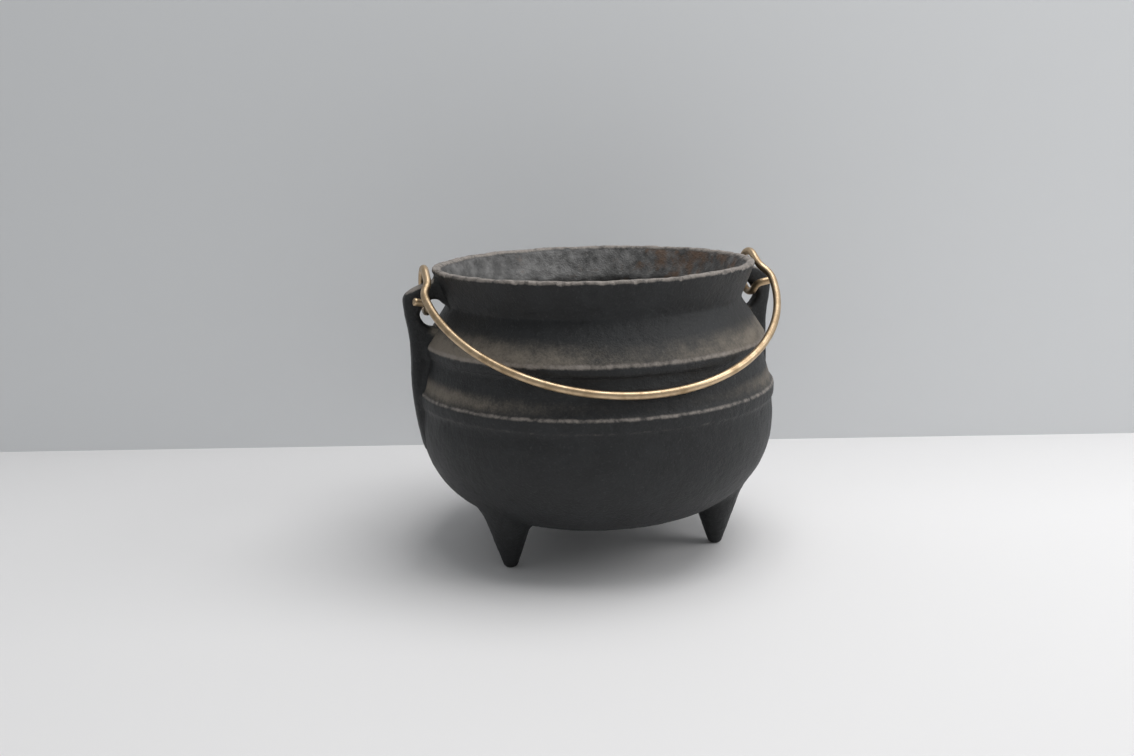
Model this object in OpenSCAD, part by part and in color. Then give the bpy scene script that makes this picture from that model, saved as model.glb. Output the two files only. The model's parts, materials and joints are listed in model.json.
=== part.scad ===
// Small cast iron cauldron on three feet, with two pierced ears and a brass wire bail.
// Millimetres. +Z is up, the floor is z = 0 and the pot's axis is the Z axis.
// The ears are on +X and -X, and at rest the bail hangs to the front, which is -Y.

/* [Pot] */
// Height of the pot from its underside to the rim
pot_h = 135.8; // [132:0.2:142]
// Height of its underside above the floor
lift = 15.2; // [12:0.2:20]
// Outer diameter of the rim
rim_d = 168; // [164:1:172]
// Outer diameter of the neck, in the crease under the collar
neck_d = 154.4; // [150:0.2:157]
// Outer diameter at the belly
belly_d = 188; // [184:1:192]
// Thickness of the cast wall
wall = 4.7; // [4:0.1:6]

/* [Heights on the pot] */
// Depth of the crease of the neck under the rim
neck_drop = 18.9; // [17:0.1:21]
// Depth of the top edge of the upper ridge under the rim
upper_ridge_drop = 38.1; // [36:0.1:40]
// Depth of the top edge of the lower ridge under the rim
lower_ridge_drop = 62.4; // [60:0.1:65]
// Depth of the widest line of the belly under the rim
belly_drop = 78.5; // [77:0.5:80]

/* [Ridges] */
// How far the upper ridge stands out from the wall under it
upper_ridge_step = 1.7; // [1:0.1:2.5]
// Height of the upper ridge's edge
upper_ridge_h = 5; // [4:0.5:6]
// How far the lower ridge stands out from the wall over it
lower_ridge_step = 1.9; // [1:0.1:2.5]
// Height of the lower ridge's edge
lower_ridge_h = 6.6; // [5:0.2:8]

/* [Ears] */
// Thickness of an ear, around the pot
ear_t = 9.5; // [8:0.5:10]
// How far an ear's outer corner stands out from the belly, or from 10 past the rim
ear_stand = 6.2; // [5.4:0.1:7.4]
// Diameter of the hole in an ear
hole_d = 14; // [13.6:0.2:14.6]
// Distance of the hole's centre in from the ear's outer corner
hole_inset = 15.6; // [15.4:0.1:16]
// Depth of the hole's centre under the rim
hole_drop = 22; // [21.6:0.1:22.4]
// Chamfer on the edges of the hole
hole_chamfer = 1.2; // [0.8:0.1:1.4]

/* [Feet] */
// Radius of the circle that the three feet stand on
foot_circle_r = 64.7; // [60:0.5:68]
// Diameter of a foot's flat tip
foot_tip_d = 6.4; // [5:0.2:9]
// Diameter of a foot where it runs into the bowl
foot_root_d = 25; // [22:0.5:28]
// Height above the underside of the bowl at which a foot has that diameter
foot_root_rise = 11.8; // [9:0.2:15]

/* [Bail] */
// Thickness of the brass wire
wire_d = 4; // [3.6:0.1:4.2]
// How far the bail's arc bows out past the hooks, at the middle of the wire
bail_bow = 3.7; // [3.2:0.1:5]
// Distance of the arc's centre from the hook's top
bail_leg = 8.7; // [8:0.1:10]
// Distance of each hook out from the centre of its hole
hook_out = 4.2; // [3.8:0.1:4.4]
// Radius of the hook, at the middle of the wire
hook_r = 11; // [10.8:0.1:11.4]
// Part of a full turn that the hook takes round the ear, in degrees
hook_turn = 256; // [240:1:260]
// Height of the wire over the hole's centre, where it passes through the hole
hook_lift = 1; // [0.6:0.1:1.2]
// Gap between the wire and the pot where the bail rests on it
rest_gap = 0.5; // [0.3:0.1:1]

/* [Hidden] */
$fn = 96;

iron = [0.17, 0.17, 0.18];
iron_ear = [0.14, 0.14, 0.15];
brass = [0.72, 0.58, 0.38];

// Points of a round stretch, from angle a0 to a1 about the centre c
function arc(c, r, a0, a1, steps) = [
    for (i = [0 : steps])
        let (a = a0 + (a1 - a0) * i / steps)
        c + r * [cos(a), sin(a)]
];

// Heights of the profile above the floor
rim_h = lift + pot_h;
neck_z = rim_h - neck_drop;
upper_z = rim_h - upper_ridge_drop;
lower_z = rim_h - lower_ridge_drop;
belly_z = rim_h - belly_drop;
bottom_z = lift;

// The bowl under the belly is three arcs that run smoothly into each other:
// a flat side arc, the tight turn of the bowl, and a shallow arc across the bottom.
belly_r = belly_d / 2;
side_r = 95;
side_angle = 5;
turn_r = pot_h - belly_drop - 10.6;
base_steps = 10;
turn_steps = 18;
side_steps = 2;
side_c = [belly_r - side_r, belly_z];
turn_c = side_c + (side_r - turn_r) * [cos(side_angle), -sin(side_angle)];
turn_rise = turn_c[1] - bottom_z;
base_r = (pow(turn_c[0], 2) + pow(turn_rise, 2) - pow(turn_r, 2)) / (2 * (turn_rise - turn_r));
base_c = [0, bottom_z + base_r];
base_angle = atan2(base_c[1] - turn_c[1], turn_c[0]);

function bowl_arcs(inset) = concat(
    arc(base_c, base_r - inset, -90, -base_angle, base_steps),
    arc(turn_c, turn_r - inset, -base_angle, -side_angle, turn_steps),
    arc(side_c, side_r - inset, -side_angle, 0, side_steps)
);

// The same points from the last to the first
function backwards(points) = [for (i = [len(points) - 1 : -1 : 0]) points[i]];

// Outer profile above the belly, from the belly up to the rim, as [radius, height]
rim_r = rim_d / 2;
neck_r = neck_d / 2;
upper_r = belly_r - 4;
lower_r = belly_r + 0.5;
rim_round = 0.9;
lip_fall = 1.6;
edge_round = 1.1;
root_round = 1.4;
draft = 0.2;
between_low = [lower_r - lower_ridge_step, lower_z + root_round];
between_high = [upper_r - upper_ridge_step, upper_z - upper_ridge_h - root_round];
outer_upper = [
    [lower_r - edge_round, lower_z - lower_ridge_h - root_round],
    [lower_r - draft, lower_z - lower_ridge_h],
    [lower_r, lower_z - edge_round],
    [lower_r - edge_round / 2, lower_z],
    between_low,
    between_high,
    [upper_r - draft, upper_z - upper_ridge_h],
    [upper_r, upper_z - edge_round],
    [upper_r - edge_round / 2, upper_z],
    [neck_r + edge_round / 2, neck_z - edge_round],
    [neck_r, neck_z],
    [neck_r + draft, neck_z + edge_round],
    [rim_r, rim_h - lip_fall],
    [rim_r - draft, rim_h - rim_round / 2],
    [rim_r - rim_round, rim_h]
];

// Inner profile, from the rim down to the belly. It follows the outside without the ridges.
throat_r = neck_r - wall - 0.4;
inner_upper = [
    [rim_r - wall + rim_round, rim_h],
    [rim_r - wall + draft, rim_h - rim_round / 2],
    [rim_r - wall - draft, rim_h - lip_fall],
    [throat_r + draft, neck_z + root_round],
    [throat_r, neck_z - draft],
    [throat_r + 3 * draft, neck_z - 2 * edge_round],
    [upper_r - wall - root_round, upper_z - draft],
    [upper_r - wall - edge_round, upper_z - upper_ridge_h],
    [belly_r - wall - 3 * draft, lower_z]
];

// Everything inside the outer surface of the pot, as one solid
module pot_envelope() {
    rotate_extrude()
        polygon(concat(bowl_arcs(0), outer_upper, [[0, rim_h]]));
}

// The cast pot itself: collar, neck, ridges and bowl, open at the top
module pot_bowl() {
    color(iron)
        rotate_extrude()
            polygon(concat(
                bowl_arcs(0),
                outer_upper,
                inner_upper,
                backwards(bowl_arcs(wall))
            ));
}

// Side view of an ear. Its top slopes out from the rim to a round corner, and its leg
// runs down over both ridges and fades into the belly. The pot cuts off its inner side.
ear_past_rim = 10;
ear_reach = max(belly_r, rim_r + ear_past_rim) + ear_stand;
hole_x = ear_reach - hole_inset;
hole_z = rim_h - hole_drop;
ear_top_drop = 4.6;
ear_corner_r = 5.6;
ear_root_r = neck_r - wall / 2;
ear_slope = 19;
corner_c = [ear_reach - ear_corner_r, rim_h - ear_top_drop - 10.2];
leg_lean = 7;
leg_waist = 2.5;
leg_knee = 1.8;
leg_end_drop = belly_drop + 13.5;
module ear_outline() {
    polygon(concat(
        [
            [ear_root_r, rim_h - ear_top_drop],
            [rim_r - wall / 8, rim_h - ear_top_drop]
        ],
        arc(corner_c, ear_corner_r, 90 - ear_slope, -leg_lean, 8),
        [
            [ear_reach - leg_waist, upper_z + 4],
            [ear_reach - leg_waist, upper_z - 6],
            [ear_reach - leg_knee, lower_z + 5.4],
            [ear_reach - leg_waist, lower_z - lower_ridge_h],
            [belly_r + 1.6, belly_z - 3.5],
            [belly_r - 1.2, rim_h - leg_end_drop],
            [ear_root_r, rim_h - leg_end_drop]
        ]
    ));
}

// One ear, standing out along +X
module ear() {
    difference() {
        rotate([90, 0, 0])
            linear_extrude(ear_t, center = true) ear_outline();
        pot_envelope();
        translate([hole_x, 0, hole_z])
            rotate([90, 0, 0]) {
                cylinder(h = ear_t + 2, d = hole_d, center = true);
                for (side = [0, 1])
                    mirror([0, 0, side])
                        translate([0, 0, ear_t / 2 - hole_chamfer])
                            cylinder(h = 2 * hole_chamfer, d1 = hole_d, d2 = hole_d + 4 * hole_chamfer);
            }
    }
}

module right_ear() {
    color(iron_ear) ear();
}

module left_ear() {
    color(iron_ear) mirror([1, 0, 0]) ear();
}

// A blunt, tapered foot that runs up into the bowl, at an angle round the pot from the front
tip_chamfer = 0.6;
foot_root_h = bottom_z + foot_root_rise;
foot_top_h = foot_root_h + 19;
module foot(angle) {
    tip_r = foot_tip_d / 2;
    flare = (foot_root_d / 2 - tip_r) / foot_root_h;
    color(iron_ear)
        difference() {
            rotate([0, 0, angle])
                translate([0, -foot_circle_r, 0])
                    rotate_extrude()
                        polygon([
                            [0, 0],
                            [tip_r - tip_chamfer, 0],
                            [tip_r, tip_chamfer],
                            [tip_r + flare * foot_top_h, foot_top_h],
                            [0, foot_top_h]
                        ]);
            pot_envelope();
        }
}

module front_left_foot() {
    foot(-60);
}

module front_right_foot() {
    foot(60);
}

module back_foot() {
    foot(180);
}

// The bail is drawn flat first: its axis is the X axis, the arc lies in the plane
// z = hook_r and reaches to -Y. Each end steps in from the arc to the hook with an S bend.
bend_r = 16;
step_angle = 8;
elbow_r = 4;
elbow_turn = 72;
tip_l = 4.5;
hook_x = hole_x + hook_out;
bail_r = hook_x + bail_bow;
in_c = [(bail_r - bend_r) * cos(step_angle), -bail_leg - (bail_r - bend_r) * sin(step_angle)];
out_dx = hook_x + bend_r - in_c[0];
out_dy = sqrt(pow(2 * bend_r, 2) - pow(out_dx, 2));
out_c = [hook_x + bend_r, in_c[1] + out_dy];
s_angle = atan2(out_dy, out_dx);

// At rest the middle of the arc lies on the sloping wall between the ridges. It travels on
// a circle about the turning axis, and rests where that circle meets the line of the wall,
// moved out by half the wire and the gap.
pivot_z = hole_z + hook_lift + hook_r;
bail_reach = bail_leg + bail_r;
crown_swing_r = norm([bail_reach, hook_r]);
wall_dir = (between_low - between_high) / norm(between_low - between_high);
rest_from = between_high + (wire_d / 2 + rest_gap) * [-wall_dir[1], wall_dir[0]] - [0, pivot_z];
rest_along = -rest_from * wall_dir
    + sqrt(pow(rest_from * wall_dir, 2) - rest_from * rest_from + pow(crown_swing_r, 2));
crown = rest_from + rest_along * wall_dir;
droop = atan2(-crown[1], crown[0]) + atan2(hook_r, bail_reach);

// A round bend of the wire about the Z axis, from angle a0 to a1
module bend(r, a0, a1) {
    rotate([0, 0, a0])
        rotate_extrude(angle = a1 - a0)
            translate([r, 0]) circle(d = wire_d, $fn = 48);
}

// The place at angle a on such a bend
module on_bend(r, a) {
    rotate([0, 0, a]) translate([r, 0, 0]) children();
}

// A hair thicker than the wire, where two of its stretches run into each other
module knuckle() {
    sphere(d = wire_d + 0.06, $fn = 48);
}

// The round hook, which goes over the ear, down behind it, and forward through its hole,
// and the cut end, which turns outward in front of the ear
module hook() {
    translate([hook_x, 0, 0])
        rotate([0, -90, 0]) {
            bend(hook_r, 0, hook_turn);
            on_bend(hook_r, 0) knuckle();
            on_bend(hook_r, hook_turn) {
                knuckle();
                rotate([0, -90, 0])
                    translate([-elbow_r, 0, 0]) {
                        bend(elbow_r, 0, elbow_turn);
                        on_bend(elbow_r, elbow_turn) {
                            knuckle();
                            rotate([-90, 0, 0])
                                cylinder(h = tip_l, d = wire_d, $fn = 48);
                        }
                    }
            }
        }
}

// One half of the bail: the step from the arc, the straight run and the hook
module bail_end() {
    translate([0, 0, hook_r]) {
        translate(in_c) {
            bend(bend_r, -step_angle, s_angle);
            on_bend(bend_r, -step_angle) knuckle();
            on_bend(bend_r, s_angle) knuckle();
        }
        translate(out_c) bend(bend_r, 180, 180 + s_angle);
        translate([hook_x, out_c[1], 0]) knuckle();
        translate([hook_x, 0, 0])
            rotate([90, 0, 0])
                cylinder(h = -out_c[1], d = wire_d, $fn = 48);
    }
    hook();
}

module bail() {
    color(brass)
        translate([0, 0, pivot_z])
            rotate([droop, 0, 0]) {
                translate([0, -bail_leg, hook_r])
                    bend(bail_r, 180 + step_angle, 360 - step_angle);
                bail_end();
                mirror([1, 0, 0]) bail_end();
            }
}

pot_bowl();
left_ear();
right_ear();
front_left_foot();
front_right_foot();
back_foot();
bail();
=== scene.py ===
# %% [markdown]
# # A small cast iron cauldron with a brass bail
# This lesson dresses a three footed cauldron in Blender. The plain solids come from the packed
# model, and each of them is replaced by a mesh of the same size that also has what a foundry
# leaves behind: soft roots where ears and feet grow out of the wall, a wavy lip with chips, lumps
# and pits. Sizes are in millimetres until a mesh is made, and then in metres.

# %% The frame
import json
import math
import bpy
import numpy as np
from mathutils import Matrix, Vector, noise

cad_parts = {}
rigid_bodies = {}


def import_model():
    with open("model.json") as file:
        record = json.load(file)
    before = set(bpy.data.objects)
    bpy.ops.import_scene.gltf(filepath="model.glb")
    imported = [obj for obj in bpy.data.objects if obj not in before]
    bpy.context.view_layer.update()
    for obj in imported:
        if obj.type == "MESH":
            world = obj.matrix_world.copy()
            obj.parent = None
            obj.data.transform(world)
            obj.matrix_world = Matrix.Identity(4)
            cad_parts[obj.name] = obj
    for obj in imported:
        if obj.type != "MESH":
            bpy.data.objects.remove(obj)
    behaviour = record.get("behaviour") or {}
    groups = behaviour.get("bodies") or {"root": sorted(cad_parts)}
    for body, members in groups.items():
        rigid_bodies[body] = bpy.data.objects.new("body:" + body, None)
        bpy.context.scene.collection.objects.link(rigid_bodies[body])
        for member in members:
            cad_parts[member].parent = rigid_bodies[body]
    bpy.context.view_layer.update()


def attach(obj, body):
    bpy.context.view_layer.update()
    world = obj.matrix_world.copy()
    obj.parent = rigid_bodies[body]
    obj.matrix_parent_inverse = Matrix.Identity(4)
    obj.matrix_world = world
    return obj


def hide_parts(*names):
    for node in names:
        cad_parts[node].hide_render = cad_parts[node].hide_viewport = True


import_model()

MM = 0.001

# %% [markdown]
# ## The camera
# The camera was matched to the rim, the ridges and the feet in the picture. It stands 0.59 m in
# front of the pot and 65 mm over its rim, and it looks down by 12 degrees. The pot itself is
# turned by 15.5 degrees, so that its right ear lies further back than its left one.

# %% The camera
# The picture's size in pixels, and its focal length in the same pixels
FRAME_W, FRAME_H = 1134, 756
FOCAL_PX = 1115.6
RIM_Z = 151 * MM
CAMERA_AWAY = 587.1 * MM
CAMERA_OVER_RIM = 65.2 * MM
POT_TURN = math.radians(15.5)
PITCH, YAW, ROLL = (math.radians(a) for a in (12.27, -1.47, -1.57))

turned = Matrix.Rotation(-POT_TURN, 3, "Z")
ahead = Vector((math.sin(YAW) * math.cos(PITCH), math.cos(YAW) * math.cos(PITCH), -math.sin(PITCH)))
level = Vector((math.cos(YAW), -math.sin(YAW), 0))
upward = level.cross(ahead)
right_side = turned @ (math.cos(ROLL) * level + math.sin(ROLL) * upward)
top_side = turned @ (math.cos(ROLL) * upward - math.sin(ROLL) * level)
ahead = turned @ ahead
eye = turned @ Vector((0, -CAMERA_AWAY, RIM_Z + CAMERA_OVER_RIM))

camera_data = bpy.data.cameras.new("camera")
camera_data.sensor_width = 36
camera_data.lens = 36 * FOCAL_PX / FRAME_W
camera_data.clip_start = 0.01
camera = bpy.data.objects.new("camera", camera_data)
looking = Matrix((right_side, top_side, -ahead)).transposed()
camera.matrix_world = Matrix.Translation(eye) @ looking.to_4x4()
bpy.context.scene.collection.objects.link(camera)
bpy.context.scene.camera = camera
print("lens", round(camera_data.lens, 2), "mm, eye", [round(c, 3) for c in eye])


def floor_point(u, v):
    """The place on the floor that shows at a pixel of the picture."""
    ray = ahead + (u - FRAME_W / 2) / FOCAL_PX * right_side
    ray = ray - (v - FRAME_H / 2) / FOCAL_PX * top_side
    return eye - ray * (eye.z / ray.z)


# %% [markdown]
# ## Meshes from arrays
# Every piece here is worked out as an array of points, because a formula can then move all of
# them at once. One function turns points and faces into an object. A second one gives each point
# a number between 0 and 1 under a name, which a material can read later, for instance to know
# where the iron is worn.

# %% Making a piece
def make_piece(name, points, faces):
    """A smooth shaded mesh from points in millimetres."""
    mesh = bpy.data.meshes.new(name)
    mesh.from_pydata((np.asarray(points) * MM).tolist(), [], faces)
    mesh.polygons.foreach_set("use_smooth", [True] * len(mesh.polygons))
    piece = bpy.data.objects.new(name, mesh)
    bpy.context.scene.collection.objects.link(piece)
    return piece


def points_of(piece):
    """The points of a piece in millimetres, one row each."""
    flat = np.empty(3 * len(piece.data.vertices))
    piece.data.vertices.foreach_get("co", flat)
    return flat.reshape(-1, 3) / MM


def normals_of(piece):
    """The direction that the surface faces at each point."""
    flat = np.empty(3 * len(piece.data.vertices))
    piece.data.vertex_normals.foreach_get("vector", flat)
    return flat.reshape(-1, 3)


def move_points(piece, points):
    """Puts the points of a piece in new places."""
    piece.data.vertices.foreach_set("co", (points * MM).ravel())
    piece.data.update()


def paint(piece, name, amounts):
    """Gives each point a number that materials can read by this name."""
    layer = piece.data.attributes.new(name, "FLOAT", "POINT")
    layer.data.foreach_set("value", np.clip(amounts, 0, 1).astype(float).ravel())


# %% [markdown]
# ## The skin of sand casting
# Iron is poured into packed sand, so its skin is never a clean lathe form. It has broad lumps, a
# finer orange peel, and a grain that is too small for the mesh and is left to the material. The
# same noise is used for every piece at its own place in the pot, so that the skin runs on from
# the wall into the ears and feet.

# %% Lumps
def lumps(points, size, octaves=3):
    """Smooth noise from about -1 to 1 at each point, with lumps of about that size."""
    scaled = np.asarray(points) / size + 31.7
    return np.array([noise.fractal(p, 0.8, 2.1, octaves) for p in scaled.tolist()])


def ramp(value, low, high):
    """0 at low and 1 at high, with soft ends."""
    t = np.clip((value - low) / (high - low), 0, 1)
    return t * t * (3 - 2 * t)


def near(value, middle, width):
    """1 at the middle, falling away smoothly on both sides."""
    return np.exp(-((value - middle) / width) ** 2)


LIP_R = 84


def cast_skin(points, normals, broad=0.17, fine=0.1):
    """The points as the sand leaves them: a lumpy skin, a wall out of round and a wavy lip."""
    rise = broad * lumps(points, 13) + fine * lumps(points, 3.2)
    moved = points + normals * rise[:, None]
    angle = np.arctan2(points[:, 1], points[:, 0])
    oval = 0.3 * np.cos(2 * angle + 0.8) + 0.16 * np.cos(3 * angle + 2.1)
    moved[:, :2] *= (1 + oval * ramp(points[:, 2], 90, 150) / 90)[:, None]
    ring = np.column_stack((np.cos(angle), np.sin(angle), np.zeros(len(angle)))) * LIP_R
    wave = 0.4 * lumps(ring, 24, 2) + 0.25 * lumps(ring, 6, 2)
    moved[:, 2] += ramp(points[:, 2], 144, 151) * wave
    return moved


# %% [markdown]
# ## The outline of the pot
# The pot is a turned form, so one outline in radius and height makes all of it. The lower bowl is
# three arcs that run into each other. Above the belly come two ridges that cast a crisp edge
# upward, a sloping shoulder, the crease of the neck and the flared collar. Each corner has its
# own roundness: a worn edge is soft, and the crease under the collar is softer still.

# %% Arcs and rounded corners
def arc(centre, radius, start, end, steps):
    """Points on a round stretch, with angles in degrees."""
    turn = np.radians(np.linspace(start, end, steps + 1))
    return np.array(centre) + radius * np.column_stack((np.cos(turn), np.sin(turn)))


def rounded(corners, steps=5):
    """A line through corners of (x, y, roundness), each one cut by a short curve."""
    spots = np.array([c[:2] for c in corners], float)
    line = [spots[0]]
    for i in range(1, len(spots) - 1):
        back, on = spots[i - 1] - spots[i], spots[i + 1] - spots[i]
        reach_back = min(corners[i][2], 0.48 * np.linalg.norm(back))
        reach_on = min(corners[i][2], 0.48 * np.linalg.norm(on))
        first = spots[i] + back / np.linalg.norm(back) * reach_back
        last = spots[i] + on / np.linalg.norm(on) * reach_on
        for t in np.linspace(0, 1, steps + 1):
            line.append((1 - t) ** 2 * first + 2 * t * (1 - t) * spots[i] + t ** 2 * last)
    return np.array(line + [spots[-1]])


def refined(line, longest):
    """The same line with points added, so that no step is longer than this."""
    out = [line[0]]
    for a, b in zip(line[:-1], line[1:]):
        parts = max(1, math.ceil(np.linalg.norm(b - a) / longest))
        out += [a + (b - a) * k / parts for k in range(1, parts + 1)]
    return np.array(out)


# %% The outline, inside and outside
WALL = 4.7
LIFT, BELLY_Z, RIM = 15.2, 72.5, 151.0
SIDE_C, SIDE_R, SIDE_ANGLE = np.array([-1.0, BELLY_Z]), 95.0, 5
TURN_R = 46.7
TURN_C = SIDE_C + (SIDE_R - TURN_R) * np.array(
    [math.cos(math.radians(SIDE_ANGLE)), -math.sin(math.radians(SIDE_ANGLE))])
rise = TURN_C[1] - LIFT
BASE_R = (TURN_C[0] ** 2 + rise ** 2 - TURN_R ** 2) / (2 * (rise - TURN_R))
BASE_C = np.array([0, LIFT + BASE_R])
BASE_ANGLE = math.degrees(math.atan2(BASE_C[1] - TURN_C[1], TURN_C[0]))


def bowl(inset):
    """The lower bowl from the axis to the belly, this far inside its outer face."""
    return np.vstack((
        arc(BASE_C, BASE_R - inset, -90, -BASE_ANGLE, 22),
        arc(TURN_C, TURN_R - inset, -BASE_ANGLE, -SIDE_ANGLE, 26)[1:],
        arc(SIDE_C, SIDE_R - inset, -SIDE_ANGLE, 0, 3)[1:],
    ))


# Corners as (radius, height, roundness), from the belly up to the lip
ridges_and_collar = [
    (94.0, 72.5, 0), (93.4, 80.3, 3.0), (94.5, 82.2, 1.3), (94.6, 88.3, 1.7), (92.5, 90.2, 2.6),
    (88.2, 106.3, 2.6), (89.9, 108.0, 1.2), (90.1, 112.7, 2.2), (77.5, 131.4, 3.0),
    (77.4, 133.4, 2.4), (84.0, 149.7, 0.9), (83.7, 151.1, 0.8), (81.8, 151.2, 0),
]
inside_of_collar = [
    (81.8, 151.2, 0), (80.0, 151.0, 1.0), (79.0, 149.4, 1.4), (72.2, 132.4, 3.4),
    (83.7, 112.8, 5.0), (84.4, 106.0, 6.0), (88.7, 88.0, 7.0), (89.3, 72.5, 0),
]
outside = np.vstack((bowl(0), refined(rounded(ridges_and_collar), 1.9)[1:]))
inside = np.vstack((refined(rounded(inside_of_collar), 2.2)[1:], bowl(WALL)[::-1][1:]))
outline = np.vstack((outside, inside))
print("points on the outline", len(outside), "outside and", len(inside), "inside")

# %% [markdown]
# ## The pot
# The outline is turned round the axis in 648 steps, which makes faces of about 1 mm. Then the
# foundry's marks are added: the whole wall is a little out of round, the lip waves up and down,
# its outer edge has lost small chips, and the inside, which was formed by a core of coarse sand,
# is much rougher than the outside.

# %% Turning the outline
TURNS = 648


def turned_form(line, turns):
    """Points and faces of a line that starts and ends on the axis, turned round it."""
    angle = np.linspace(0, 2 * math.pi, turns, endpoint=False)
    middle = line[1:-1]
    ring = np.stack((
        middle[:, :1] * np.cos(angle), middle[:, :1] * np.sin(angle),
        np.repeat(middle[:, 1:], turns, axis=1)), axis=2)
    points = np.vstack((ring.reshape(-1, 3), [[0, 0, line[0, 1]]], [[0, 0, line[-1, 1]]]))
    here = np.arange(turns)
    there = (here + 1) % turns
    faces = []
    for row in range(len(middle) - 1):
        low, high = row * turns, (row + 1) * turns
        faces += np.column_stack((low + here, low + there, high + there, high + here)).tolist()
    start, end = len(points) - 2, len(points) - 1
    last = (len(middle) - 1) * turns
    faces += np.column_stack((there, here, np.full(turns, start))).tolist()
    faces += np.column_stack((last + here, last + there, np.full(turns, end))).tolist()
    return points, faces


shell_points, shell_faces = turned_form(outline, TURNS)
pot = make_piece("cast_pot", shell_points, shell_faces)
print("pot", len(shell_points), "points")

# %% [markdown]
# ## Where the pot is worn, dusty or inside
# Hands and lids wear the lip and the edges of the ridges, and dust lies on the slopes above them.
# Such marks could be painted by hand, but they would be lost as soon as the outline changes. So
# three numbers are worked out for each point from its radius and height, and the material reads
# them by name.

# %% Masks for wear, dust and inside
radius = np.hypot(shell_points[:, 0], shell_points[:, 1])
height = shell_points[:, 2]
row = np.append(np.repeat(np.arange(1, len(outline) - 1), TURNS), [0, len(outline) - 1])
is_inside = (row >= len(outside)).astype(float)
is_outside = 1 - is_inside
side = shell_points[:, 0] / np.maximum(radius, 1)
lip = ramp(height, 148.6, 150.6)

# Edges as (radius, height)
UPPER_RIDGE_EDGE = (89.4, 112.5)
LOWER_RIDGE_EDGE = (94.2, 88.5)
LOWER_RIDGE_FOOT = (94.3, 82.0)
LIP_EDGE = (83.6, 150.6)


def along_edge(edge, width):
    """1 along an edge that runs round the pot, falling away on all sides of it."""
    return near(np.hypot(radius - edge[0], height - edge[1]), 0, width)


wear = is_outside * along_edge(UPPER_RIDGE_EDGE, 1.5)
wear = np.maximum(wear, is_outside * 0.85 * along_edge(LOWER_RIDGE_EDGE, 1.3))
wear = np.maximum(wear, is_outside * 0.4 * along_edge(LOWER_RIDGE_FOOT, 1.2))
wear = np.maximum(wear, lip)
dust = is_outside * ramp(height, 130, 114) * (height > 112) * (0.45 + 0.55 * np.abs(side) ** 1.5)
dust = np.maximum(dust, is_outside * near(height, 93, 5) * (height > 89) * (0.2 + 0.6 * side ** 2))
paint(pot, "worn", wear)
paint(pot, "dusty", dust)
paint(pot, "inside", is_inside * (1 - lip))

# %% The foundry's marks on the pot
rng = np.random.default_rng(7)
angle = np.arctan2(shell_points[:, 1], shell_points[:, 0])
normals = normals_of(pot)
moved = cast_skin(shell_points, normals)

# Broad, rough lumps of the core, inside only
core = 0.42 * lumps(shell_points, 9, 4) + 0.2 * lumps(shell_points, 3.5, 3)
moved += normals * (core * is_inside * (1 - lip))[:, None]


def away_from(where, at_radius):
    """How far each point lies from an angle, measured round a circle of this radius."""
    return np.abs((angle - where + math.pi) % (2 * math.pi) - math.pi) * at_radius


# Chips out of the lip's outer edge as (angle, half width, depth), the front ones first
chips = [(-2.02, 2.2, 1.3), (-1.97, 1.0, 0.8), (-1.6, 1.3, 1.2), (-1.33, 1.0, 0.9), (-2.3, 1.2, 0.8)]
chips += [(rng.uniform(-math.pi, math.pi), rng.uniform(0.6, 2.4), rng.uniform(0.3, 1.0))
          for _ in range(46)]
on_lip_edge = along_edge(LIP_EDGE, 1.6)
for where, width, depth in chips:
    bite = depth * on_lip_edge * ramp(away_from(where, LIP_R), width, width * 0.45)
    moved[:, :2] *= (1 - 0.9 * bite / LIP_R)[:, None]
    moved[:, 2] -= 0.8 * bite

# Pits as (angle, height, size, depth), the first ones where the collar shows them in front
pits = [(-1.86, 143.3, 2.1, 0.9), (-1.83, 144.9, 1.2, 0.6), (-1.6, 147.2, 0.9, 0.7)]
pits += [(rng.uniform(-math.pi, math.pi), rng.uniform(30, 146), rng.uniform(0.7, 1.5),
          rng.uniform(0.15, 0.45)) for _ in range(130)]
for where, level_z, size, depth in pits:
    dent = near(away_from(where, radius), 0, size) * near(height, level_z, size) * is_outside
    moved -= normals * (depth * dent)[:, None]
move_points(pot, moved)
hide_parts("pot_bowl")
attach(pot, "pot")
print("pot is", np.round(np.ptp(moved, axis=0), 1), "mm")

# %% [markdown]
# ## Ears and feet that grow out of the wall
# In a casting, an ear meets the wall in a soft hollow root, and a boolean union would leave a
# hard line there. So these pieces are described by distance fields: a formula that says how far
# any place is from the surface, with a minus sign inside. Two fields are joined by a smooth
# minimum, which fills the corner between them. A surface net then turns the field into a mesh:
# each cell that the surface passes through gets one point, and neighbouring points make the faces.

# %% Distance fields
def polygon_field(x, z, corners):
    """Distance to a closed outline, with a minus sign inside it."""
    nearest = np.full(x.shape, np.inf)
    sign = np.ones(x.shape)
    for (ax, az), (bx, bz) in zip(corners, np.roll(corners, -1, axis=0)):
        ex, ez = bx - ax, bz - az
        if ex == 0 and ez == 0:
            continue
        wx, wz = x - ax, z - az
        t = np.clip((wx * ex + wz * ez) / (ex * ex + ez * ez), 0, 1)
        nearest = np.minimum(nearest, (wx - ex * t) ** 2 + (wz - ez * t) ** 2)
        over, under, left = z >= az, z < bz, ex * wz > ez * wx
        sign = np.where((over & under & left) | ~(over | under | left), -sign, sign)
    return sign * np.sqrt(nearest)


def join(a, b, soft):
    """The union of two fields, with the corner between them filled."""
    h = np.maximum(soft - np.abs(a - b), 0) / soft
    return np.minimum(a, b) - h * h * soft / 4


def cut(a, b, soft):
    """What two fields share, with the edge between them rounded."""
    return -join(-a, -b, soft)


UNDER_SKIN = 0.3
INSIDE_SKIN = 1.2
envelope = np.vstack((outside[::2], [[83, 151], [0, 151]]))
cavity = np.vstack(([[80, 170]], inside[::2], [[0, 170]]))


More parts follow.
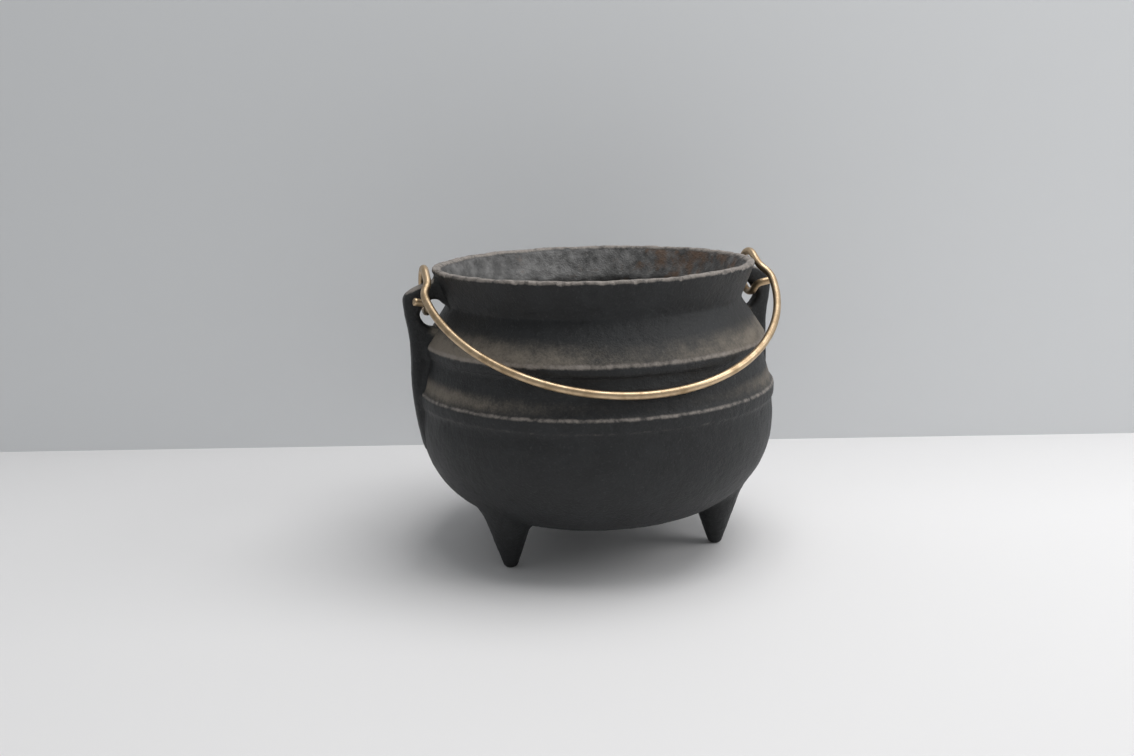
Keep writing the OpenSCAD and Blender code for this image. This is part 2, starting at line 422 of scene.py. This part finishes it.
def grow_from_wall(piece, plain, x, y, z, soft, reach):
    """Joins a piece's field to the pot's wall, and keeps only what lies near the piece."""
    around = np.hypot(x, y)
    grown = join(piece, polygon_field(around, z, envelope) + UNDER_SKIN, soft)
    grown = np.maximum(grown, INSIDE_SKIN - polygon_field(around, z, cavity))
    return np.maximum(grown, plain - reach)


# %% A surface net
def surface_net(field, low, step):
    """Points and faces where a field on a grid passes through zero."""
    inside_it = field < 0
    cells = tuple(n - 1 for n in field.shape)
    total, count = np.zeros(cells + (3,)), np.zeros(cells)
    crossings = []
    for axis in range(3):
        first = np.delete(field, -1, axis)
        second = np.delete(field, 0, axis)
        crossed = (first < 0) != (second < 0)
        spot = np.stack(np.indices(first.shape), -1).astype(float)
        spot[..., axis] += first / np.where(crossed, first - second, 1)
        others = [a for a in range(3) if a != axis]
        for shift in ((0, 0), (0, 1), (1, 0), (1, 1)):
            grab = [slice(None)] * 3
            for other, d in zip(others, shift):
                grab[other] = slice(d, field.shape[other] - 1 + d)
            found = crossed[tuple(grab)]
            total += np.where(found[..., None], spot[tuple(grab)], 0)
            count += found
        crossings.append((axis, others, crossed))
    number = np.full(cells, -1)
    number[count > 0] = np.arange((count > 0).sum())
    points = low + step * total[count > 0] / count[count > 0][:, None]
    faces = []
    for axis, others, crossed in crossings:
        where = np.argwhere(crossed)
        for other in others:
            where = where[(where[:, other] > 0) & (where[:, other] < field.shape[other] - 1)]
        corners = []
        for shift in ((1, 1), (0, 1), (0, 0), (1, 0)):
            cell = where.copy()
            cell[:, others] -= shift
            corners.append(number[tuple(cell.T)])
        quads = np.column_stack(corners)
        flip = inside_it[tuple(where.T)] == (axis == 1)
        quads[flip] = quads[flip][:, ::-1]
        faces += quads.tolist()
    return points, faces


def piece_from_field(name, field, low, high, step=0.6):
    """A piece from a field, worked out in the box between two corners."""
    axes = [np.arange(a, b + step, step) for a, b in zip(low, high)]
    x, y, z = np.meshgrid(*axes, indexing="ij")
    points, faces = surface_net(field(x, y, z), np.array(low, float), step)
    piece = make_piece(name, points, faces)
    move_points(piece, cast_skin(points, normals_of(piece)))
    print(name, len(points), "points")
    return piece


# %% [markdown]
# ## The ears
# Each ear is a thick plate across the line of the handle. Its top slopes out from the lip to a
# round corner, its leg runs down over both ridges and fades into the belly, and a rough hole
# takes the hook of the bail.

# %% The ears
EAR_T = 9.5
HOLE = (84.6, 129.0, 7.2)
ear_side = rounded([
    (74, 146.4, 0), (83.4, 146.3, 2.0), (95.6, 142.2, 4.2), (99.9, 138.9, 3.8), (100.3, 133.5, 5.0),
    (97.8, 117.0, 6.0), (97.7, 106.5, 6.0), (98.3, 94.0, 6.0), (97.6, 82.0, 6.0), (95.5, 69.0, 6.0),
    (92.4, 59.0, 1.0), (74, 59.0, 0),
])


def ear_field(x, y, z):
    """The right ear, joined to the wall."""
    around = np.arctan2(z - HOLE[1], x - HOLE[0])
    rough_r = HOLE[2] + 0.22 * np.cos(4 * around + 0.5) + 0.15 * np.cos(7 * around)
    hole = rough_r - np.hypot(x - HOLE[0], z - HOLE[1])
    side_view = polygon_field(x, z, ear_side)
    plate = cut(side_view, np.abs(y) - EAR_T / 2, 3.4)
    plate = cut(plate, hole, 3.0)
    plain = np.maximum(side_view, np.abs(y) - EAR_T / 2)
    return np.maximum(grow_from_wall(plate, plain, x, y, z, 4.0, 5), hole - 0.2)


def mark_ear(piece):
    """Where an ear is worn and dusty: its top, its corner and the lower side of its hole."""
    spots, facing = points_of(piece), normals_of(piece)
    x, z = np.abs(spots[:, 0]), spots[:, 2]
    top = ramp(z, 134, 140) * ramp(facing[:, 2], 0.35, 0.8)
    paint(piece, "worn", top)
    paint(piece, "dusty", near(np.hypot(x - HOLE[0], z - HOLE[1] + 8), 0, 4) * 0.8)
    paint(piece, "inside", np.zeros(len(spots)))


right_ear = piece_from_field("right_ear_cast", ear_field, (66, -12, 52), (102, 12, 153))
left_ear = piece_from_field(
    "left_ear_cast", lambda x, y, z: ear_field(-x, y, z), (-102, -12, 52), (-66, 12, 153))
for ear, node in ((right_ear, "right_ear"), (left_ear, "left_ear")):
    mark_ear(ear)
    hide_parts(node)
    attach(ear, "pot")

# %% [markdown]
# ## The feet
# A foot is a blunt cone that swells into the bowl. The fillet at its root is what tells the eye
# that pot and foot were poured together, so it is made about 4 mm wide.

# %% The feet
FOOT_CIRCLE = 64.7
FOOT_TIP_R, FOOT_SLOPE = 3.2, 9.3 / 27
FOOT_ROOM, FOOT_TOP, UNDER_FOOT = 25, 50, 1.2


def foot_at(where):
    """The field of a foot that stands at this angle round the pot."""
    fx, fy = FOOT_CIRCLE * math.cos(where), FOOT_CIRCLE * math.sin(where)
    lean = math.cos(math.atan(FOOT_SLOPE))

    def field(x, y, z):
        cone = (np.hypot(x - fx, y - fy) - FOOT_TIP_R - FOOT_SLOPE * z) * lean
        return grow_from_wall(cut(cone, -z, 1.6), cone, x, y, z, 4.5, 7)

    return field, fx, fy


for name, degrees in (("front_left_foot", 210), ("front_right_foot", 330), ("back_foot", 90)):
    field, fx, fy = foot_at(math.radians(degrees))
    low = (fx - FOOT_ROOM, fy - FOOT_ROOM, -UNDER_FOOT)
    high = (fx + FOOT_ROOM, fy + FOOT_ROOM, FOOT_TOP)
    foot = piece_from_field(f"{name}_cast", field, low, high)
    spots = points_of(foot)
    spots[:, 2] = np.maximum(spots[:, 2], 0)
    move_points(foot, spots)
    paint(foot, "worn", 0.5 * ramp(spots[:, 2], 2.5, 0))
    paint(foot, "dusty", np.zeros(len(spots)))
    paint(foot, "inside", np.zeros(len(spots)))
    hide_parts(name)
    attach(foot, "pot")

# %% [markdown]
# ## The bail
# The bail is one length of 4 mm brass wire, bent cold over a former, so its bends are never quite
# even. Its middle line is worked out first, and a ring of points is then carried along it. The
# hooks go over the ears, down behind them and forward through their holes, and the cut ends turn
# out in front.

# %% The line of the wire
WIRE_R = 2.0
HOOK_X, HOOK_R, HOOK_TURN, HOOK_STEPS = 88.8, 11.0, 256, 60
BAIL_R, BAIL_LEG = 92.5, 8.7
BEND_R, STEP_ANGLE = 16.0, 8
ELBOW_R, ELBOW_TURN, TIP = 4.0, 72, 4.5
PIVOT_Z, DROOP = 141.0, 30.4755

step_turn = math.radians(STEP_ANGLE)
in_c = np.array([(BAIL_R - BEND_R) * math.cos(step_turn),
                 -BAIL_LEG - (BAIL_R - BEND_R) * math.sin(step_turn)])
out_dx = HOOK_X + BEND_R - in_c[0]
out_dy = math.sqrt((2 * BEND_R) ** 2 - out_dx ** 2)
out_c = np.array([HOOK_X + BEND_R, in_c[1] + out_dy])
S_ANGLE = math.degrees(math.atan2(out_dy, out_dx))


def flat_part(centre, radius, start, end, step=1.2):
    """A bend of the flat bail, at the height of its plane."""
    steps = max(2, math.ceil(abs(math.radians(end - start)) * radius / step))
    part = arc(centre, radius, start, end, steps)
    return np.column_stack((part, np.full(len(part), HOOK_R)))


def in_hook_plane(y, z):
    """Points in the plane of the right hook."""
    return np.column_stack((np.full(len(y), HOOK_X), y, z))


def half_wire():
    """The right half of the wire's line, from the middle of the arc to the cut end."""
    line = [flat_part((0, -BAIL_LEG), BAIL_R, 270, 360 - STEP_ANGLE)]
    line.append(flat_part(in_c, BEND_R, -STEP_ANGLE, S_ANGLE)[1:])
    line.append(flat_part(out_c, BEND_R, 180 + S_ANGLE, 180)[1:])
    straight = np.linspace(out_c[1], 0, 6)[1:]
    line.append(in_hook_plane(straight, np.full(len(straight), HOOK_R)))
    turn = np.radians(np.linspace(0, HOOK_TURN, HOOK_STEPS))[1:]
    line.append(in_hook_plane(HOOK_R * np.sin(turn), HOOK_R * np.cos(turn)))
    last = math.radians(HOOK_TURN)
    along = np.array([0, math.cos(last), -math.sin(last)])
    outward = np.array([1.0, 0, 0])
    corner = line[-1][-1] + ELBOW_R * outward
    bend = np.radians(np.linspace(0, ELBOW_TURN, 9))[1:, None]
    line.append(corner - ELBOW_R * np.cos(bend) * outward + ELBOW_R * np.sin(bend) * along)
    onward = math.sin(bend[-1, 0]) * outward + math.cos(bend[-1, 0]) * along
    line.append(line[-1][-1] + np.linspace(0, TIP, 5)[1:, None] * onward)
    return np.vstack(line)


right_half = half_wire()
left_half = right_half[:0:-1] * np.array([-1, 1, 1])
wire_line = np.vstack((left_half, right_half))
droop = math.radians(DROOP)
wire_line = np.column_stack((
    wire_line[:, 0],
    wire_line[:, 1] * math.cos(droop) - wire_line[:, 2] * math.sin(droop),
    wire_line[:, 1] * math.sin(droop) + wire_line[:, 2] * math.cos(droop) + PIVOT_Z))
print("length of the wire", round(np.linalg.norm(np.diff(wire_line, axis=0), axis=1).sum()), "mm")


# %% The wire
BEVEL, BEVEL_SHARE = 0.35, 0.82


def swept(line, radius, sides=22):
    """Points and faces of a round wire along a line, with cut ends that have a small bevel."""
    ahead_of = np.gradient(line, axis=0)
    ahead_of /= np.linalg.norm(ahead_of, axis=1)[:, None]
    across = np.cross(ahead_of[0], [0, 0, 1.0])
    across /= np.linalg.norm(across)
    rings = []
    turn = np.linspace(0, 2 * math.pi, sides, endpoint=False)[:, None]
    stations = [(i, 1.0) for i in range(len(line))]
    stations = [(0, BEVEL_SHARE)] + stations + [(len(line) - 1, BEVEL_SHARE)]
    for i, share in stations:
        forward = ahead_of[i]
        across = across - forward * np.dot(across, forward)
        across /= np.linalg.norm(across)
        up = np.cross(forward, across)
        centre = line[i]
        if share < 1:
            centre = centre + forward * (BEVEL if i else -BEVEL)
        rings.append(centre + share * radius * (np.cos(turn) * across + np.sin(turn) * up))
    points = np.vstack(rings)
    here = np.arange(sides)
    there = (here + 1) % sides
    faces = []
    for k in range(len(rings) - 1):
        low, high = k * sides, (k + 1) * sides
        faces += np.column_stack((low + there, low + here, high + here, high + there)).tolist()
    faces.append(list(range(sides)))
    faces.append(list(range(len(points) - 1, len(points) - sides - 1, -1)))
    return points, faces


ROOM_FOR_LUMPS = 0.03
wire_points, wire_faces = swept(wire_line, WIRE_R - ROOM_FOR_LUMPS)
bail = make_piece("bail_wire", wire_points, wire_faces)
wire_normals = normals_of(bail)
move_points(bail, wire_points + wire_normals * (0.035 * lumps(wire_points, 5))[:, None])
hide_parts("bail")
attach(bail, "bail")
print("wire", len(wire_points), "points")

# %% [markdown]
# ## Shader sums in Python
# A node tree is easier to read as sums. The class below holds one socket, and its operators add
# the Math nodes. Any other node comes from one method, which takes the type of the node, its
# settings and the values of its sockets.

# %% A class for sockets
class Flow:
    """One socket of a shader tree that Python can calculate with."""

    def __init__(self, tree, socket=None):
        self.tree = tree
        self.socket = socket

    def node(self, kind, settings=None, sockets=None, out=0):
        """Adds a node with its settings first, then its sockets, and returns one output."""
        made = self.tree.nodes.new(kind)
        for key, value in (settings or {}).items():
            if key == "stops":
                ramp_of = made.color_ramp
                while len(ramp_of.elements) < len(value):
                    ramp_of.elements.new(0.5)
                for element, (place, colour) in zip(ramp_of.elements, value):
                    element.position = place
                    element.color = colour if len(colour) == 4 else (*colour, 1)
            else:
                setattr(made, key, value)
        for key, value in (sockets or {}).items():
            if isinstance(value, Flow):
                self.tree.links.new(value.socket, made.inputs[key])
            else:
                made.inputs[key].default_value = value
        return Flow(self.tree, made.outputs[out])

    def maths(self, operation, *values):
        return self.node("ShaderNodeMath", {"operation": operation}, dict(enumerate(values)))

    def __add__(self, other):
        return self.maths("ADD", self, other)

    def __sub__(self, other):
        return self.maths("SUBTRACT", self, other)

    def __rsub__(self, other):
        return self.maths("SUBTRACT", other, self)

    def __mul__(self, other):
        return self.maths("MULTIPLY", self, other)

    __radd__ = __add__
    __rmul__ = __mul__

    def step(self, low, high):
        """0 under low, 1 over high and smooth between them."""
        return self.node("ShaderNodeMapRange", {"interpolation_type": "SMOOTHSTEP"},
                         {"Value": self, "From Min": low, "From Max": high})

    def mix(self, under, over):
        """A colour between two others, with this number as the share of the second."""
        return self.node("ShaderNodeMix", {"data_type": "RGBA"}, {0: self, 6: under, 7: over}, out=2)


def new_material(name):
    """An empty material, with its tree as a Flow to start sums from."""
    material = bpy.data.materials.new(name)
    material.use_nodes = True
    material.node_tree.nodes.clear()
    return material, Flow(material.node_tree)


def finish_material(start, surface):
    """Links the shader to the output."""
    output = start.tree.nodes.new("ShaderNodeOutputMaterial")
    start.tree.links.new(surface.socket, output.inputs["Surface"])


def grey(value, warm=0.0):
    """A grey that leans to brown when warm is over 0 and to blue when it is under 0."""
    return (value * (1 + warm), value, value * (1 - warm), 1)


# %% [markdown]
# ## Cast iron
# Bare iron that has been blacked and then left for years is not one grey. The ground is a charcoal
# with soft mottling and a grain of tiny light points. Handling has worn the lip and the ridges to
# a pinkish grey, brown dust lies on the shoulder, and the inside is painted in grey patches, a
# painted sheen that stands in for light reflected off its dark metal, with rust over them.

# %% Cast iron
RUST = (0.15, 0.085, 0.048, 1)
DUST = (0.19, 0.165, 0.135, 1)
WORN_IRON = (0.27, 0.24, 0.215, 1)
iron, start = new_material("blacked cast iron")
place = start.node("ShaderNodeTexCoord", out=3)


def clouds(size_mm, detail=3, roughness=0.55, shift=0.0):
    """Noise from 0 to 1 with lumps of about this size."""
    spot = place
    if shift:
        spot = start.node("ShaderNodeVectorMath", {"operation": "ADD"}, {0: place, 1: (shift, shift, 0)})
    return start.node("ShaderNodeTexNoise", {}, {
        "Vector": spot, "Scale": 1000 / size_mm, "Detail": detail, "Roughness": roughness})


def painted(name):
    """The number that the meshes carry under this name."""
    return start.node("ShaderNodeAttribute", {"attribute_name": name}, out=2)


mottle = clouds(16, 5, 0.6).step(0.32, 0.72)
grain = clouds(1.3, 4, 0.7)
specks = clouds(2.1, 3, 0.75, shift=0.4)
ground = mottle.mix(grey(0.010, -0.07), grey(0.021, -0.06))
ground = (grain.step(0.52, 0.8) * 0.45).mix(ground, grey(0.075, -0.03))

inside_mask = painted("inside")
# The grey cloudy patches inside are a painted sheen: light reflected off dark metal, painted into its
# colour. The rust mixed over them is real.
painted_sheen_inside = (clouds(9, 5, 0.65, shift=0.2).step(0.35, 0.7)).mix(grey(0.07, 0.02), grey(0.19, 0.02))
rusty = clouds(14, 5, 0.65, shift=0.7)
across_x = start.node("ShaderNodeSeparateXYZ", {}, {"Vector": place}, out=0)
rust_mask = (rusty + across_x.step(-0.02, 0.09) * 0.16).step(0.58, 0.76) * 0.75
painted_sheen_inside = rust_mask.mix(painted_sheen_inside, RUST)
ground = inside_mask.mix(ground, painted_sheen_inside)

dust_patches = grain * 0.9 + clouds(7, 4, 0.6, shift=0.5) * 0.9 - 0.1
dust_mask = (painted("dusty") * dust_patches).step(0.12, 0.75)
ground = dust_mask.mix(ground, DUST)
worn_patches = clouds(4, 5, 0.7, shift=0.9) * 1.9 - 0.25
worn_mask = (painted("worn") * worn_patches).step(0.2, 0.85)
colour = worn_mask.mix(ground, WORN_IRON)

roughness = 0.56 + dust_mask * 0.3 + worn_mask * 0.06 - inside_mask * 0.1 + (mottle - 0.5) * 0.1
height_mix = clouds(0.9, 3, 0.6, shift=0.3) * 0.6 + clouds(3.2, 4, 0.6) * 1.0
bumped = start.node("ShaderNodeBump", {}, {"Strength": 0.8, "Distance": 0.0007, "Height": height_mix})
surface = start.node("ShaderNodeBsdfPrincipled", {}, {
    "Base Color": colour, "Roughness": roughness, "Normal": bumped, "Specular IOR Level": 0.4})
finish_material(start, surface)
for piece in [o for o in bpy.data.objects if o.name.endswith("_cast") or o.name == "cast_pot"]:
    piece.data.materials.append(iron)

# %% [markdown]
# ## Brass wire
# The bail is drawn brass that has dulled in the air. It keeps a satin shine, and a brown film has
# settled in soft patches, so both its colour and its roughness change along the wire.

# %% Brass wire
CLEAN_BRASS = (0.60, 0.45, 0.29, 1)
BROWN_FILM = (0.30, 0.21, 0.12, 1)
brass, start = new_material("dulled brass")
place = start.node("ShaderNodeTexCoord", out=3)
film = clouds(7, 4, 0.6).step(0.35, 0.75)
scratches = clouds(0.8, 3, 0.7)
colour = (film * 0.8).mix(CLEAN_BRASS, BROWN_FILM)
roughness = 0.30 + film * 0.16 + scratches * 0.08
bumped = start.node("ShaderNodeBump", {}, {"Strength": 0.25, "Distance": 0.0002, "Height": scratches})
surface = start.node("ShaderNodeBsdfPrincipled", {}, {
    "Base Color": colour, "Metallic": 1.0, "Roughness": roughness, "Normal": bumped})
finish_material(start, surface)
bail.data.materials.append(brass)

# %% [markdown]
# ## Floor, wall and light
# The pot stands on a pale table in front of a grey wall. Both are plain boards, and the wall
# is clear from behind, so that the pot can be looked at from every side. Light comes
# from large soft lamps overhead and to the right, so that the shadow lies under the pot and to
# its left, and the front of the pot stays dark.

# %% Floor and wall
def board(name, corners, colour, one_sided=False):
    """A flat stage piece in one colour, from corners in metres, open from behind if asked."""
    mesh = bpy.data.meshes.new(name)
    mesh.from_pydata([tuple(c) for c in corners], [], [tuple(range(len(corners)))])
    made = bpy.data.objects.new(name, mesh)
    bpy.context.scene.collection.objects.link(made)
    material, begin = new_material(name)
    shader = begin.node("ShaderNodeBsdfPrincipled", {}, {
        "Base Color": (*colour, 1), "Roughness": 0.6, "Specular IOR Level": 0.2})
    if one_sided:
        behind = begin.node("ShaderNodeNewGeometry", out=6)
        clear = begin.node("ShaderNodeBsdfTransparent")
        shader = begin.node("ShaderNodeMixShader", {}, {0: behind, 1: shader, 2: clear})
    finish_material(begin, shader)
    made.data.materials.append(material)


# Where wall and floor meet at the left and right edges of the picture, in its pixels
SEAM_LEFT, SEAM_RIGHT = (0, 452), (FRAME_W, 433)
FLOOR_HALF, WALL_HALF, WALL_HIGH = 4, 0.8, 0.5
left_seam, right_seam = floor_point(*SEAM_LEFT), floor_point(*SEAM_RIGHT)
along_wall = (right_seam - left_seam).normalized()
middle_seam = (left_seam + right_seam) / 2
floor_corners = [(FLOOR_HALF * x, FLOOR_HALF * y, 0) for x, y in ((-1, -1), (1, -1), (1, 1), (-1, 1))]
board("floor", floor_corners, (0.80, 0.79, 0.79))
wall_left = middle_seam - WALL_HALF * along_wall
wall_right = middle_seam + WALL_HALF * along_wall
up_wall = Vector((0, 0, WALL_HIGH))
board("wall", (wall_left, wall_right, wall_right + up_wall, wall_left + up_wall),
      (0.74, 0.75, 0.76), one_sided=True)
print("the wall stands", round((middle_seam - eye).length, 3), "m from the camera")


# %% Lamps
def lamp(name, where, size, watts, aim=(0, 0, 0.08)):
    """A square soft lamp that looks at the pot. Places are as the camera sees them."""
    data = bpy.data.lights.new(name, "AREA")
    data.shape = "SQUARE"
    data.size = size
    data.energy = watts
    made = bpy.data.objects.new(name, data)
    made.location = turned @ Vector(where)
    away = made.location - Vector(aim)
    made.rotation_euler = away.to_track_quat("Z", "Y").to_euler()
    bpy.context.scene.collection.objects.link(made)


lamp("overhead", (0.3, -0.05, 1.3), 1.0, 12)
lamp("right window", (1.4, -0.2, 0.9), 0.8, 7)
world = bpy.data.worlds.new("room")
world.use_nodes = True
sky = world.node_tree.nodes["Background"].inputs
sky["Color"].default_value = (0.95, 0.98, 1.0, 1)
sky["Strength"].default_value = 0.34
bpy.context.scene.world = world
bpy.context.scene.view_settings.view_transform = "Standard"
